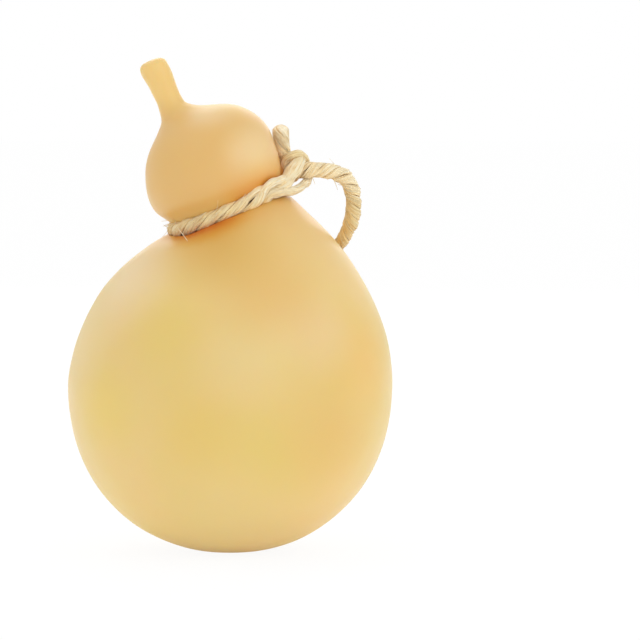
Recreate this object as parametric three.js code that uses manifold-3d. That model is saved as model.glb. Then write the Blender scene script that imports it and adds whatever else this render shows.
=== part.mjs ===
// A truffle caciocavallo: a pear-shaped cheese with a small round head and a pinched-off stalk, tied round
// the neck with a three-strand sisal rope that carries a hanging loop.
// Millimetres, +Z up. The origin is the middle of the flat foot, and seen from -Y the head leans to -X.
import * as THREE from "three";
import { mergeVertices } from "three/addons/utils/BufferGeometryUtils.js";
import Module from "manifold-3d";

const { lerp, smoothstep } = THREE.MathUtils;

// Body: two half superellipses that meet at the widest level.
const BODY_RADIUS = 65;
const WIDEST_HEIGHT = 66;
const LOWER_DEPTH = 66.8;
const LOWER_POWER = 2.1;
const UPPER_HEIGHT = 76;
const UPPER_POWER = 1.8;

// Neck: where the rope sits, and how the rings above the widest level tilt and shift towards it.
const NECK_HEIGHT = 137.2;
const NECK_SHIFT = -1.2;
const NECK_TILT = THREE.MathUtils.degToRad(22);
const TILT_POWER = 4;
const LEAN_LEVELS = [0, 0.42, 0.72, 0.9, 1];
const LEAN_SHIFTS = [0, 1.1, 0, -1.9, NECK_SHIFT];

// Lips: at both sides of the neck the shoulder stands up against the rope, more so under the knot, and beside
// the left lip it sinks away from the rope.
const LIP_START = 0.87;
const LIP_LEVEL = 0.95;
const KNOT_LIP_RISE = 2;
const LEFT_LIP_RISE = 0.85;
const LEFT_LIP_POWER = 6;
const LEFT_LIP_DIP = 1.3;

// Rope: one laid rope round the neck, and the groove that it has pressed into the cheese.
const ROPE_RADIUS = 3.2;
const COLLAR_RADIUS = 21.4;
const GROOVE_RADIUS = 4.1;
const GROOVE_MIDDLE = 21.9;
const IMPRINT_RADIUS = 3.85;
const IMPRINT_POINTS = 240;
const GAP = 0.35;

// Head: an oblate round above the neck, skewed up on the right and rounded in further just above the rope.
// Rises are measured along the tilted axis from the neck.
const HEAD_RADIUS = 27.9;
const HEAD_HALF_HEIGHT = 26.1;
const HEAD_RISE = 16.85;
const HEAD_SHIFT = 0.25;
const HEAD_SKEW = 0.031;
const HEAD_SHIFT_START = 4;
const HEAD_SHIFT_END = 14;
const HEAD_SHOULDER_ANGLE = THREE.MathUtils.degToRad(64);
const UNDERCUT_DEPTH = 3.4;
const UNDERCUT_RISE = 9.5;
const UNDERCUT_POWER = 1.6;

// Stalk: the pinched-off end, off the head's middle, with a mushroomed tip.
const STALK_RADIUS = 5.15;
const STALK_ROOT_RISE = 49;
const STALK_FILLET = 5;
const STALK_STRAIGHT = 9;
const STALK_SHIFT = -5.2;
const STALK_SHIFT_START = 37;
const STALK_SHIFT_END = 46;
const TIP_RADIUS = 5.85;
const TIP_ROOT_RISE = 62.3;
const TIP_LENGTH = 4.1;
const TIP_UNDERCUT = 4;
const TIP_POWER = 3;
const TIP_SHIFT = -0.55;
const TIP_SHIFT_START = 57;

// How finely the cheese is faceted: sides round the axis, and rings in each stretch of the profile.
const CHEESE_SIDES = 60;
const LOWER_RINGS = 13;
const UPPER_RINGS = 15;
const GROOVE_RINGS = 12;
const HEAD_RINGS = 13;
const FILLET_RINGS = 4;
const STALK_RINGS = 5;
const TIP_RINGS = 5;

// The neck's own frame: along the axis of the head, across it, and away from the viewer.
const ALONG = new THREE.Vector3(-Math.sin(NECK_TILT), 0, Math.cos(NECK_TILT));
const ACROSS = new THREE.Vector3(Math.cos(NECK_TILT), 0, Math.sin(NECK_TILT));
const AWAY = new THREE.Vector3(0, 1, 0);
const NECK = new THREE.Vector3(NECK_SHIFT, 0, NECK_HEIGHT);

function atNeck(along, across, away) {
  return NECK.clone()
    .addScaledVector(ALONG, along)
    .addScaledVector(ACROSS, across)
    .addScaledVector(AWAY, away);
}

// A quarter of a superellipse, from the widest point at 0 to the pole at a right angle.
function superellipse(angle, radius, height, power) {
  return new THREE.Vector2(
    radius * Math.max(Math.cos(angle), 0) ** (2 / power),
    height * Math.max(Math.sin(angle), 0) ** (2 / power),
  );
}

function bodyBelow(angle) {
  const p = superellipse(angle, BODY_RADIUS, LOWER_DEPTH, LOWER_POWER);
  return new THREE.Vector2(p.x, WIDEST_HEIGHT - p.y);
}

function bodyAbove(angle) {
  const p = superellipse(angle, BODY_RADIUS, UPPER_HEIGHT, UPPER_POWER);
  return new THREE.Vector2(p.x, WIDEST_HEIGHT + p.y);
}

function headSide(angle) {
  const rise = HEAD_RISE + HEAD_HALF_HEIGHT * Math.sin(angle);
  const undercut = UNDERCUT_DEPTH * Math.max(1 - rise / UNDERCUT_RISE, 0) ** UNDERCUT_POWER;
  return new THREE.Vector2(HEAD_RADIUS * Math.cos(angle) - undercut, NECK_HEIGHT + rise);
}

// The angle between clear and sunk where a curve crosses the groove's circle.
function grooveCrossing(curve, clear, sunk) {
  const middle = new THREE.Vector2(GROOVE_MIDDLE, NECK_HEIGHT);
  for (let halving = 0; halving < 50; halving++) {
    const angle = (clear + sunk) / 2;
    if (curve(angle).distanceTo(middle) > GROOVE_RADIUS) clear = angle;
    else sunk = angle;
  }
  return clear;
}

// Points of a curve from one parameter to another, without the first.
function stretch(curve, from, to, count) {
  const points = [];
  for (let i = 1; i <= count; i++) points.push(curve(from + ((to - from) * i) / count));
  return points;
}

// The cheese stood up straight: radius and height from the foot's middle to the stalk's tip.
function cheeseProfile() {
  const footAngle = Math.asin((WIDEST_HEIGHT / LOWER_DEPTH) ** (LOWER_POWER / 2));
  const bodySunk = Math.acos((GROOVE_MIDDLE / BODY_RADIUS) ** (UPPER_POWER / 2));
  const lowerLip = grooveCrossing(bodyAbove, 0, bodySunk);
  const upperLip = grooveCrossing(headSide, 0, -Math.acos(GROOVE_MIDDLE / HEAD_RADIUS));
  const grooveAngle = (p) => Math.atan2(p.y - NECK_HEIGHT, p.x - GROOVE_MIDDLE);
  const lowerAngle = grooveAngle(bodyAbove(lowerLip)) + 2 * Math.PI;
  const upperAngle = grooveAngle(headSide(upperLip));
  const groove = (angle) =>
    new THREE.Vector2(
      GROOVE_MIDDLE + GROOVE_RADIUS * Math.cos(angle),
      NECK_HEIGHT + GROOVE_RADIUS * Math.sin(angle),
    );

  const headTop = headSide(HEAD_SHOULDER_ANGLE);
  const headSlope = new THREE.Vector2(
    -HEAD_RADIUS * Math.sin(HEAD_SHOULDER_ANGLE),
    HEAD_HALF_HEIGHT * Math.cos(HEAD_SHOULDER_ANGLE),
  ).setLength(STALK_FILLET);
  const stalkRoot = new THREE.Vector2(STALK_RADIUS, NECK_HEIGHT + STALK_ROOT_RISE);
  const tipRoot = new THREE.Vector2(TIP_RADIUS, NECK_HEIGHT + TIP_ROOT_RISE);
  const up = (height) => new THREE.Vector2(0, height);
  const fillet = new THREE.CubicBezierCurve(
    headTop,
    headTop.clone().add(headSlope),
    stalkRoot.clone().sub(up(STALK_FILLET)),
    stalkRoot,
  );
  const stalk = new THREE.CubicBezierCurve(
    stalkRoot,
    stalkRoot.clone().add(up(STALK_STRAIGHT)),
    tipRoot.clone().sub(up(TIP_UNDERCUT)),
    tipRoot,
  );
  const tip = (angle) => superellipse(angle, TIP_RADIUS, TIP_LENGTH, TIP_POWER).add(up(tipRoot.y));

  return [
    new THREE.Vector2(0, 0),
    bodyBelow(footAngle),
    ...stretch(bodyBelow, footAngle, 0, LOWER_RINGS),
    ...stretch(bodyAbove, 0, lowerLip, UPPER_RINGS),
    ...stretch(groove, lowerAngle, upperAngle, GROOVE_RINGS),
    ...stretch(headSide, upperLip, HEAD_SHOULDER_ANGLE, HEAD_RINGS),
    ...stretch((t) => fillet.getPoint(t), 0, 1, FILLET_RINGS),
    ...stretch((t) => stalk.getPoint(t), 0, 1, STALK_RINGS),
    ...stretch(tip, 0, Math.PI / 2, TIP_RINGS),
  ];
}

const leanAt = new THREE.CubicInterpolant(LEAN_LEVELS, LEAN_SHIFTS, 1);

// How far the shoulder stands up at a level near the neck, outside the groove.
function lipRise(x, y, level) {
  const radius = Math.hypot(x, y);
  const outside = smoothstep(radius, GROOVE_MIDDLE, GROOVE_MIDDLE + GROOVE_RADIUS);
  if (outside === 0) return 0;
  const side = Math.abs(x) / radius;
  const left = LEFT_LIP_RISE * side ** LEFT_LIP_POWER - 4 * LEFT_LIP_DIP * side * (1 - side);
  const rise = x > 0 ? KNOT_LIP_RISE * side ** 2 : left;
  return rise * outside * smoothstep(level, LIP_START, LIP_LEVEL);
}

// Leans a point of the straight cheese: rings tilt and shift up to the neck, and the rest turns whole.
function lean(x, y, height) {
  if (height > NECK_HEIGHT) {
    const rise = height - NECK_HEIGHT;
    const stalk = smoothstep(rise, STALK_SHIFT_START, STALK_SHIFT_END);
    const head = smoothstep(rise, HEAD_SHIFT_START, HEAD_SHIFT_END) * (1 - stalk);
    const shift =
      (HEAD_SHIFT + HEAD_SKEW * (rise - HEAD_RISE)) * head +
      STALK_SHIFT * stalk +
      TIP_SHIFT * smoothstep(rise, TIP_SHIFT_START, TIP_ROOT_RISE);
    return atNeck(rise + HEAD_SKEW * x * head, x + shift, y);
  }
  const level = Math.max(height - WIDEST_HEIGHT, 0) / (NECK_HEIGHT - WIDEST_HEIGHT);
  const tilt = NECK_TILT * level ** TILT_POWER;
  const shift = leanAt.evaluate(level)[0];
  const z = height + x * Math.sin(tilt) + lipRise(x, y, level);
  return new THREE.Vector3(shift + x * Math.cos(tilt), y, z);
}

// Presses a point of the leaned cheese clear of the rope round the neck, whose line is given as points.
function pressed(p, ropePoints) {
  let middle = ropePoints[0];
  for (const point of ropePoints) {
    if (p.distanceToSquared(point) < p.distanceToSquared(middle)) middle = point;
  }
  const depth = p.distanceTo(middle);
  return depth < IMPRINT_RADIUS ? middle.clone().lerp(p, IMPRINT_RADIUS / depth) : p;
}

// Welds a geometry's shared vertices and drops the triangles that the poles collapse.
function welded(geometry) {
  geometry.deleteAttribute("normal");
  geometry.deleteAttribute("uv");
  const merged = mergeVertices(geometry, 1e-3);
  const index = [];
  for (let i = 0; i < merged.index.count; i += 3) {
    const [a, b, c] = [0, 1, 2].map((k) => merged.index.getX(i + k));
    if (a !== b && b !== c && c !== a) index.push(a, b, c);
  }
  merged.setIndex(index);
  return merged;
}

function cheeseGeometry(ropePoints) {
  const lathe = welded(new THREE.LatheGeometry(cheeseProfile(), CHEESE_SIDES));
  const position = lathe.getAttribute("position");
  for (let i = 0; i < position.count; i++) {
    const p = pressed(lean(position.getX(i), -position.getZ(i), position.getY(i)), ropePoints);
    position.setXYZ(i, p.x, p.y, p.z);
  }
  return lathe;
}

// How the rope is laid: three strands in a left-hand twist, as a lobed section that turns along the line.
const STRANDS = 3;
const LAY_LENGTH = 27;
const LAY_DEPTH = 0.55;
const ROPE_SIDES = 12;
const ROPE_STEP = 2.5;

// A closed body swept along a curve, with flat ends. place(i, turn) is a point's offset at step i.
function swept(curve, steps, sides, place) {
  const positions = [];
  const index = [];
  for (let i = 0; i <= steps; i++) {
    const middle = curve.getPointAt(i / steps);
    for (let j = 0; j < sides; j++) {
      const p = place(i, (2 * Math.PI * j) / sides).add(middle);
      positions.push(p.x, p.y, p.z);
    }
  }
  for (let i = 0; i < steps; i++) {
    for (let j = 0; j < sides; j++) {
      const a = i * sides + j;
      const b = i * sides + ((j + 1) % sides);
      index.push(a, b, a + sides, b, b + sides, a + sides);
    }
  }
  const last = steps * sides;
  for (let j = 1; j < sides - 1; j++) {
    index.push(0, j + 1, j, last, last + j, last + j + 1);
  }
  return new THREE.BufferGeometry()
    .setAttribute("position", new THREE.Float32BufferAttribute(positions, 3))
    .setIndex(index);
}

// A laid rope of a given radius. The twist counts from the curve's start.
function laidRope(curve, ropeRadius) {
  const length = curve.getLength();
  const steps = Math.round(length / ROPE_STEP);
  const frames = curve.computeFrenetFrames(steps, false);
  return swept(curve, steps, ROPE_SIDES, (i, turn) => {
    const twist = (-2 * Math.PI * length * i) / steps / LAY_LENGTH;
    const radius = ropeRadius - (LAY_DEPTH * (1 - Math.cos(STRANDS * turn))) / 2;
    return new THREE.Vector3()
      .addScaledVector(frames.normals[i], radius * Math.cos(turn + twist))
      .addScaledVector(frames.binormals[i], radius * Math.sin(turn + twist));
  });
}

// One strand out of the lay: round, or spread towards +X to an oval section in the middle of its route.
function looseStrand(route, width = STRAND_WIDTH, thickness = STRAND_WIDTH) {
  const curve = curveThrough(route);
  const steps = Math.round(curve.getLength() / ROPE_STEP);
  return swept(curve, steps, STRAND_SIDES, (i, turn) => {
    const along = curve.getTangentAt(i / steps);
    const wide = new THREE.Vector3(1, 0, 0).projectOnPlane(along).normalize();
    const thick = new THREE.Vector3().crossVectors(along, wide);
    const spread = Math.sin((Math.PI * i) / steps);
    return wide
      .multiplyScalar((lerp(STRAND_WIDTH, width, spread) / 2) * Math.cos(turn))
      .addScaledVector(thick, (lerp(STRAND_WIDTH, thickness, spread) / 2) * Math.sin(turn));
  });
}

// A plain round tube along a curve.
function tube(curve, radius, sides, steps) {
  const circle = new THREE.Shape().absarc(0, 0, radius, 0, 2 * Math.PI);
  const section = new THREE.Shape(circle.getSpacedPoints(sides).slice(0, sides));
  return welded(new THREE.ExtrudeGeometry(section, { steps, extrudePath: curve }));
}

function curveThrough(points) {
  const curve = new THREE.CatmullRomCurve3(
    points.map((p) => new THREE.Vector3(...p)),
    false,
    "centripetal",
  );
  curve.arcLengthDivisions = 1000;
  return curve;
}

// A stretch of a longer curve, from one length along it to another.
class Stretch extends THREE.Curve {
  constructor(whole, from, to) {
    super();
    this.whole = whole;
    this.from = from / whole.getLength();
    this.to = to / whole.getLength();
  }

  getPoint(t) {
    return this.whole.getPointAt(lerp(this.from, this.to, t));
  }
}

// The rope is one line in three stretches. The collar runs from the front of the neck round the left and the
// back, then off at a tangent into the knot.
const COLLAR_START = THREE.MathUtils.degToRad(-39.5);
const COLLAR_END = THREE.MathUtils.degToRad(-305.6);
const COLLAR_POINTS = 22;
const COLLAR_LENGTH = 121;

// The hanging loop comes out of the knot, down on to the shoulder behind, round and back up to the knot.
// Its last end stands up behind the head as a cut tail.
const TAIL_LENGTH = 19;
const LOOP_ROUTE = [
  [16.3, 12.9, 145],
  [21.8, 8, 148.4],
  [25.4, 5.2, 151],
  [29.6, 4.6, 152.3],
  [36.6, 5.8, 152.4],
  [42.6, 7.4, 151.2],
  [46.7, 9.5, 148.4],
  [49.1, 12, 144],
  [50, 14.5, 138.8],
  [49.5, 17, 133.6],
  [47.8, 19.6, 128.6],
  [45.4, 22.8, 123.9],
  [43.6, 27, 119],
  [44, 31.8, 113.4],
  [45.7, 36.8, 105],
  [45.7, 43, 96.4],
  [42.3, 49.5, 89.8],
  [36.1, 54.9, 87.8],
  [29.3, 57.9, 90.2],
  [23.1, 57.5, 97.6],
  [18.7, 54.2, 106.8],
  [16.4, 48.7, 116.2],
  [16, 42, 124.6],
  [16.7, 35, 132],
  [18.4, 28.4, 139],
  [20.2, 22.4, 145.4],
  [21.4, 16.8, 151],
  [21.5, 13.8, 155.2],
  [21, 12.7, 160],
  [20.4, 12.2, 165],
  [20, 11.6, 170],
];

function ropeCurve() {
  const points = [];
  for (let i = 0; i <= COLLAR_POINTS; i++) {
    const angle = COLLAR_START + ((COLLAR_END - COLLAR_START) * i) / COLLAR_POINTS;
    const p = atNeck(0, COLLAR_RADIUS * Math.cos(angle), COLLAR_RADIUS * Math.sin(angle));
    points.push(p.toArray());
  }
  return curveThrough([...points, ...LOOP_ROUTE]);
}

const ROPE = ropeCurve();
const LOOP_END = ROPE.getLength() - TAIL_LENGTH;
const COLLAR = new Stretch(ROPE, GAP, COLLAR_LENGTH - GAP / 2);
const COLLAR_ROOM = new Stretch(ROPE, 0, COLLAR_LENGTH);
const LOOP = new Stretch(ROPE, COLLAR_LENGTH + GAP / 2, LOOP_END - GAP / 2);
const TAIL = new Stretch(ROPE, LOOP_END + GAP / 2, ROPE.getLength());
const LOOP_SIDES = 10;
const LOOP_STEPS = 66;

// The opened strands: in front of the knot the collar's rope is unlaid. One strand is tucked behind the next,
// that one crosses the root of the loop spread out like a leaf, and the last one passes in front of both and
// under the root, up behind it and back over it.
const STRAND_SIDES = 9;
const STRAND_WIDTH = 3.1;
const LEAF_WIDTH = 6;
const LEAF_THICKNESS = 2;
const TUCKED_STRAND = [
  [14, -15.8, 145],
  [14.8, -17.2, 146.8],
  [16.8, -15.4, 148.4],
  [18.9, -12, 149],
  [20.6, -8, 149.2],
  [22.2, -4.4, 149],
];
const CROSSING_STRAND = [
  [13.6, -13.6, 143.8],
  [15.6, -12.4, 145],
  [18.2, -10.8, 145.6],
  [20.6, -9.4, 146.6],
  [22.6, -6.6, 149],
  [24.8, -2.6, 151.9],
  [26.6, 0, 154.4],
  [27.6, 2.6, 155.9],
  [28.3, 5.2, 156.2],
  [28.8, 8.2, 154.6],
];
const WRAPPING_STRAND = [
  [13.8, -13.8, 143],
  [16.2, -14.9, 144.2],
  [18.2, -13.9, 145.2],
  [20.6, -11.8, 145.6],
  [23.6, -8.4, 145.5],
  [26.2, -4.8, 145.5],
  [28.2, -1.2, 146],
  [29.6, 2.4, 146.9],
  [30.6, 6.4, 147.3],
  [31.1, 9.8, 149.2],
  [31, 10.4, 153],
  [29.8, 8, 157],
  [27.6, 5.6, 158.6],
  [25, 6.4, 158],
  [23.2, 8.8, 156.8],
  [22.2, 10.6, 154.2],
  [21.8, 11, 151.4],
];

// Booleans on closed geometries.
const wasm = await Module();
wasm.setup();

function solid(geometry) {
  return new wasm.Manifold(
    new wasm.Mesh({
      numProp: 3,
      vertProperties: geometry.getAttribute("position").array,
      triVerts: new Uint32Array(geometry.index.array),
    }),
  );
}

// The knot: the opened strands and the tail in one, kept clear of the rope that runs through them.
function knotGeometry() {
  const strands = [
    looseStrand(TUCKED_STRAND),
    looseStrand(CROSSING_STRAND, LEAF_WIDTH, LEAF_THICKNESS),
    looseStrand(WRAPPING_STRAND),
    laidRope(TAIL, ROPE_RADIUS),
  ];
  const clearances = [
    tube(LOOP, ROPE_RADIUS + GAP, LOOP_SIDES, LOOP_STEPS),
    laidRope(COLLAR_ROOM, ROPE_RADIUS + GAP),
  ];
  const knot = wasm.Manifold.union(strands.map(solid)).subtract(wasm.Manifold.union(clearances.map(solid)));
  const mesh = knot.getMesh();
  return new THREE.BufferGeometry()
    .setAttribute("position", new THREE.BufferAttribute(mesh.vertProperties, 3))
    .setIndex(new THREE.BufferAttribute(mesh.triVerts, 1));
}

const rind = new THREE.MeshStandardMaterial({ color: 0xe6c27c, roughness: 0.45, metalness: 0 });
const sisal = new THREE.MeshStandardMaterial({ color: 0xddc294, roughness: 0.9, metalness: 0 });

function node(name, geometry, material) {
  geometry.computeVertexNormals();
  const mesh = new THREE.Mesh(geometry, material);
  mesh.name = name;
  return mesh;
}

const caciocavallo = new THREE.Group();
caciocavallo.add(
  node("cheese", cheeseGeometry(COLLAR.getSpacedPoints(IMPRINT_POINTS)), rind),
  node("rope_collar", laidRope(COLLAR, ROPE_RADIUS), sisal),
  node("rope_knot", knotGeometry(), sisal),
  node("rope_loop", tube(LOOP, ROPE_RADIUS, LOOP_SIDES, LOOP_STEPS), sisal),
);

export default caciocavallo;
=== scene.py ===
import math

import bmesh
import bpy
import numpy as np
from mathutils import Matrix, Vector, kdtree, noise


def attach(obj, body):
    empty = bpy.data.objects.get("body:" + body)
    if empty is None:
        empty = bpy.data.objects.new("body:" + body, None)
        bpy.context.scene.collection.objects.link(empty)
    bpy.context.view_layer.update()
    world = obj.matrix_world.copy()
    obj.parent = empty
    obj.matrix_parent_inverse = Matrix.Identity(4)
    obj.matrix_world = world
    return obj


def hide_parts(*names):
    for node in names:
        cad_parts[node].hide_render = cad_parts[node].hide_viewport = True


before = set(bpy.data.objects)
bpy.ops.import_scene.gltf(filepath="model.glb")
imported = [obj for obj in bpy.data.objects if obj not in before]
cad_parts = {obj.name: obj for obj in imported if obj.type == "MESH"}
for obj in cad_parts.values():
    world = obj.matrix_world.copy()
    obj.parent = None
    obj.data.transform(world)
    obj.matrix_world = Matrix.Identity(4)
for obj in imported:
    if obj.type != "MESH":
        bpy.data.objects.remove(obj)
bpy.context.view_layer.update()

MM = 0.001
BODY = "root"

# Camera: the photograph's angle, with a long lens. The foot's middle is at this pixel of the photograph.
PHOTO_PIXELS = 640
PIXEL_SIZE = 0.4 * MM
FOOT_PIXEL = (230, 551.5)
CAMERA_DISTANCE = 2.2
CAMERA_ELEVATION = math.radians(5)
SENSOR_WIDTH = 36

# Neck: the rope's ring and its frame, as in the part's source.
NECK = np.array([-1.2, 0, 137.2]) * MM
NECK_TILT = math.radians(22)
ACROSS = np.array([math.cos(NECK_TILT), 0, math.sin(NECK_TILT)])
ALONG = np.array([-math.sin(NECK_TILT), 0, math.cos(NECK_TILT)])
AWAY = np.array([0, 1, 0])
RIGHT = np.array([1, 0, 0])
COLLAR_RADIUS = 21.4 * MM
COLLAR_DEGREES = (-39.5, -305.6)
COLLAR_POINTS = 23

# Rope: one line of three strands in a left-hand lay, in three stretches: collar, loop and tail.
STRANDS = 3
ROPE_SEED = 11
ROPE_RADIUS = 3.2 * MM
COLLAR_LENGTH = 121 * MM
TAIL_LENGTH = 19 * MM
LINE_SAMPLES = 24
LOOP_ROUTE = np.array([
    [16.3, 12.9, 145],
    [21.8, 8, 148.4],
    [25.4, 5.2, 151],
    [29.6, 4.6, 152.3],
    [36.6, 5.8, 152.4],
    [42.6, 7.4, 151.2],
    [46.7, 9.5, 148.4],
    [48.8, 12, 144],
    [49.5, 14.5, 138.8],
    [49.2, 17, 133.6],
    [47.9, 19.6, 128.6],
    [45.7, 22.8, 123.9],
    [42.8, 27, 119],
    [44, 31.8, 113.4],
    [45.7, 36.8, 105],
    [45.7, 43, 96.4],
    [42.3, 49.5, 89.8],
    [36.1, 54.9, 87.8],
    [29.3, 57.9, 90.2],
    [23.1, 57.5, 97.6],
    [18.7, 54.2, 106.8],
    [16.4, 48.7, 116.2],
    [16, 42, 124.6],
    [16.7, 35, 132],
    [18.4, 28.4, 139],
    [20.2, 22.4, 145.4],
    [21.4, 15.8, 151],
    [21.4, 11.8, 155.2],
    [20.9, 10, 160],
    [20.4, 9.6, 165],
    [20, 9.4, 170.3],
]) * MM

# Lay: loose round the neck, where the rope is opened, and tighter from the knot on.
COLLAR_LAY = 27 * MM
LOOP_LAY = 15.5 * MM
LAY_CHANGE = 30 * MM
FACING_REACH = 5.5 * MM
LAY_WANDER = 0.16
LAY_WANDER_WAVE = 21 * MM
WANDER_STRETCHES = (0.7, 1, 1.45)

# Thickness: the collar is fullest where it turns to the back. The loop thins on its way down.
TURN_FULLNESS = 0.18
TURN_PLACE = 52 * MM
TURN_REACH = 14 * MM
THINNING = 0.16
THINNING_START = 38 * MM
THINNING_LENGTH = 18 * MM
FULL_AGAIN = 45 * MM

# Strands: laid, their section is between a round and a third of the rope, and out of the lay it is oval.
STRAND_OFFSET = 1.7 * MM
STRAND_RADIUS = 1.52 * MM
STRAND_GAP = 0.02 * MM
STRAND_EDGE = 9
LEAST_FACING = 0.001
COLLAR_FLATNESS = 0.72
LOOP_FLATNESS = 0.84
LOOSE_RADIUS = 1.68 * MM
STRAND_SIDES = 48
STRAND_STEP = 0.5 * MM
SWELL_DEPTH = 0.15
SWELL_WAVE = 11 * MM
OFFSET_WANDER = 0.1

# Furrows between bundles of fibre: waves round a strand that drift along it, in radians for each mm.
FURROW_DEPTH = 0.17
FURROW_COUNTS = (4, 7, 9, 12, 15)
FURROW_DRIFT = 0.25
FURROW_WIDTH = 0.6

# Opened strands: in front of the knot the collar's strands leave the lay, each on its own route.
OPENED_REACHES = (3 * MM, 9 * MM, 3 * MM)
LEAD_STEP = 3 * MM
LEAD_POINTS = 3
OPENING = 0.5
OPENING_REACH = 18 * MM
LOOSENING = 6 * MM
TUCKED_STRAND = np.array([
    [14.8, -17.2, 146.8],
    [16.8, -15.4, 148.4],
    [18.9, -12, 149],
    [20.6, -8, 149.2],
    [22.2, -4.4, 149],
]) * MM
CROSSING_STRAND = np.array([
    [11.4, -17, 145.8],
    [14, -14.8, 146.3],
    [16.4, -12.6, 146.1],
    [18.6, -10.8, 146],
    [20.6, -9.4, 146.8],
    [22.6, -6.6, 149],
    [24.8, -2.6, 151.9],
    [26.6, 0, 154.4],
    [27.6, 2.6, 155.9],
    [28.3, 5.2, 156.2],
    [28.8, 8.2, 154.6],
]) * MM
WRAPPING_STRAND = np.array([
    [16.2, -14.9, 143.7],
    [18.2, -13.9, 144.3],
    [20.6, -11.8, 144.6],
    [23.6, -8.4, 144.7],
    [26.2, -4.8, 145],
    [28.2, -1.2, 145.8],
    [29.6, 2.4, 146.9],
    [30.6, 6.4, 147.3],
    [31.1, 9.8, 149.2],
    [31, 10.4, 153],
    [29.8, 8, 157],
    [27.6, 5.6, 158.6],
    [24.9, 4.6, 158],
    [22.7, 5.2, 156.6],
    [21.5, 5.8, 154],
    [21.4, 6.8, 151.2],
]) * MM

# Leaf: the crossing strand is spread out flat in the middle of its route.
LEAF_WIDTH = 1.95
LEAF_THICKNESS = 0.62
LEAF_START = -5 * MM
LEAF_LENGTH = 25 * MM

# Stray hairs: fibres that stand off the rope, with sunken roots. Their random lengths and radii are in mm.
TIE_HAIRS = 1300
LOOP_HAIRS = 120
HAIR_START = 8 * MM
HAIR_MARGIN = 4
HAIR_AHEAD = 3
HAIR_LIFTS = (0.1, 0.7)
HAIR_SCATTER = 0.22
HAIR_BEND = 0.4
HAIR_STEPS = 8
HAIR_LENGTH = 1.2
HAIR_EXTRA = 1.2
HAIR_MOST_EXTRA = 2.4
HAIR_ROOT = 0.15 * MM
HAIR_RADII = (0.09, 0.17)
THREAD_SIDES = 4
THREAD_TIP = 0.45

# Lying fibres: they follow a strand's skin, lifted off it in the middle. Random lifts and radii are in mm.
TIE_FIBRES = 620
LOOP_FIBRES = 520
FIBRE_STEPS = (10, 40)
FIBRE_STRIDE = 2
FIBRE_DRIFT = 5
FIBRE_LIFTS = (0.05, 0.3)
FIBRE_ROOT = 0.05 * MM
FIBRE_RADII = (0.08, 0.14)
FIBRE_TANS = (0, 1.2)

# Brush: the fibres that the cut tail is opened to, spread out a little and trimmed to a dome.
BRUSH_FIBRES = 110
BRUSH_START = 15 * MM
BRUSH_STARTS = (0.6, 1)
BRUSH_STRIDE = 3
BRUSH_DOME = 2.4 * MM
BRUSH_TOP = 1.05
BRUSH_ROUNDNESS = 0.85
BRUSH_TRIM = (0.8, 1.2)
BRUSH_TIP = 0.3
BRUSH_SPREAD = 1.06
BRUSH_GATHER = 0.14
BRUSH_TWIST = 3.5
BRUSH_SCATTER = 0.35
BRUSH_TAN = 0.25

# Single hairs that show: one has fallen on the shoulder, and two hang from the loop.
FALLEN_HAIR_RADIUS = 0.22 * MM
FALLEN_HAIR_STEP = 1 * MM
FALLEN_HAIR = np.array([
    [-21.4, -10.8, 132.1],
    [-19.8, -15.2, 129.9],
    [-18.1, -19.6, 128],
    [-17.1, -24.6, 127.2],
    [-16.2, -28, 126.3],
]) * MM
HANGING_HAIR_RADIUS = 0.15 * MM
HANGING_HAIR_TAN = 2
HANGING_HAIRS = np.array([
    [[32.6, 4, 150.2], [33.4, 3.4, 148.4], [34, 3.2, 146.8]],
    [[41.4, 6, 148.6], [42.4, 5.6, 146.4], [43, 5.4, 144.4]],
]) * MM

# Rope colour: painted shade by height, for the light from above and the rind's warm light: least above this
# height, full this far below it, and more again on the knot's top.
FULL_LIGHT_HEIGHT = 152 * MM
HEIGHT_SHADE_DEPTH = 16 * MM
LEAST_HEIGHT_SHADE = 0.35
KNOT_TOP_SHADE = 0.6
KNOT_TOP = 155 * MM
KNOT_BLEND = 2.5 * MM
TAN_AND_SHADE_SISAL = (0.87, 0.8, 0.6, 1)
SHADED_SISAL = (1, 0.78, 0.5, 1)
SISAL_STREAKS = ((0.32, (212, 174, 114)), (0.45, (252, 232, 186)), (0.62, (255, 251, 230)))
SISAL_BUNDLES = (242, 210, 146)
BUNDLE_STRENGTH = 0.4
BUNDLE_SPREAD = (0.45, 0.75)
NOISE_SPREAD = (0.3, 0.7)
STREAK_SCALE = (1.9, 0.13, 1)
BUNDLE_SCALE = (0.5, 0.05, 1)
STREAK_DEPTH = 0.12 * MM
STREAK_STRENGTH = 0.6
SISAL_ROUGHNESS = (0.9, 0.75)
SISAL_FINISH = {"Sheen Weight": 0.4, "Sheen Roughness": 0.6}

# Rope shade: how far the rind's warm shade reaches into the rope, and its strength in the rope's creases.
TIE_CONTACT = 0.8 * MM
TAIL_CONTACT = 1.2 * MM
LOOP_CONTACT = 8 * MM
CREASE_SHADE = 0.4

# Rind: the solid's facets are rounded off, and its sharp lips are kept.
RIND_LEVELS = 2
MERGE_DISTANCE = 0.01 * MM
QUAD_ANGLE = math.radians(60)
LIP_ANGLE = math.radians(35)
LIP_CREASE = 0.4
ROUNDING_LOSS = 0.1 * MM

# Swells: low waves and dimples of the rind, which fade out at the foot and by the rope.
RIND_WAVE = 34 * MM
RIND_WAVE_DEPTH = 0.2 * MM
RIND_DIMPLE = 10 * MM
RIND_DIMPLE_DEPTH = 0.08 * MM
SWELL_FADE = 6 * MM

# Groove: the rind closes on the rope, apart from the lips that stand out beyond the rope's ring.
CONTACT_RADIUS = 2.7 * MM
SETTLE_START = 3.6 * MM
SETTLE_END = 8 * MM
LIP_REACH = 6 * MM
LIP_DROP = 1.1 * MM
LIP_DROP_REACH = 5 * MM
LIP_LEFT = -8 * MM
LIP_BLEND = 10 * MM

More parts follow.
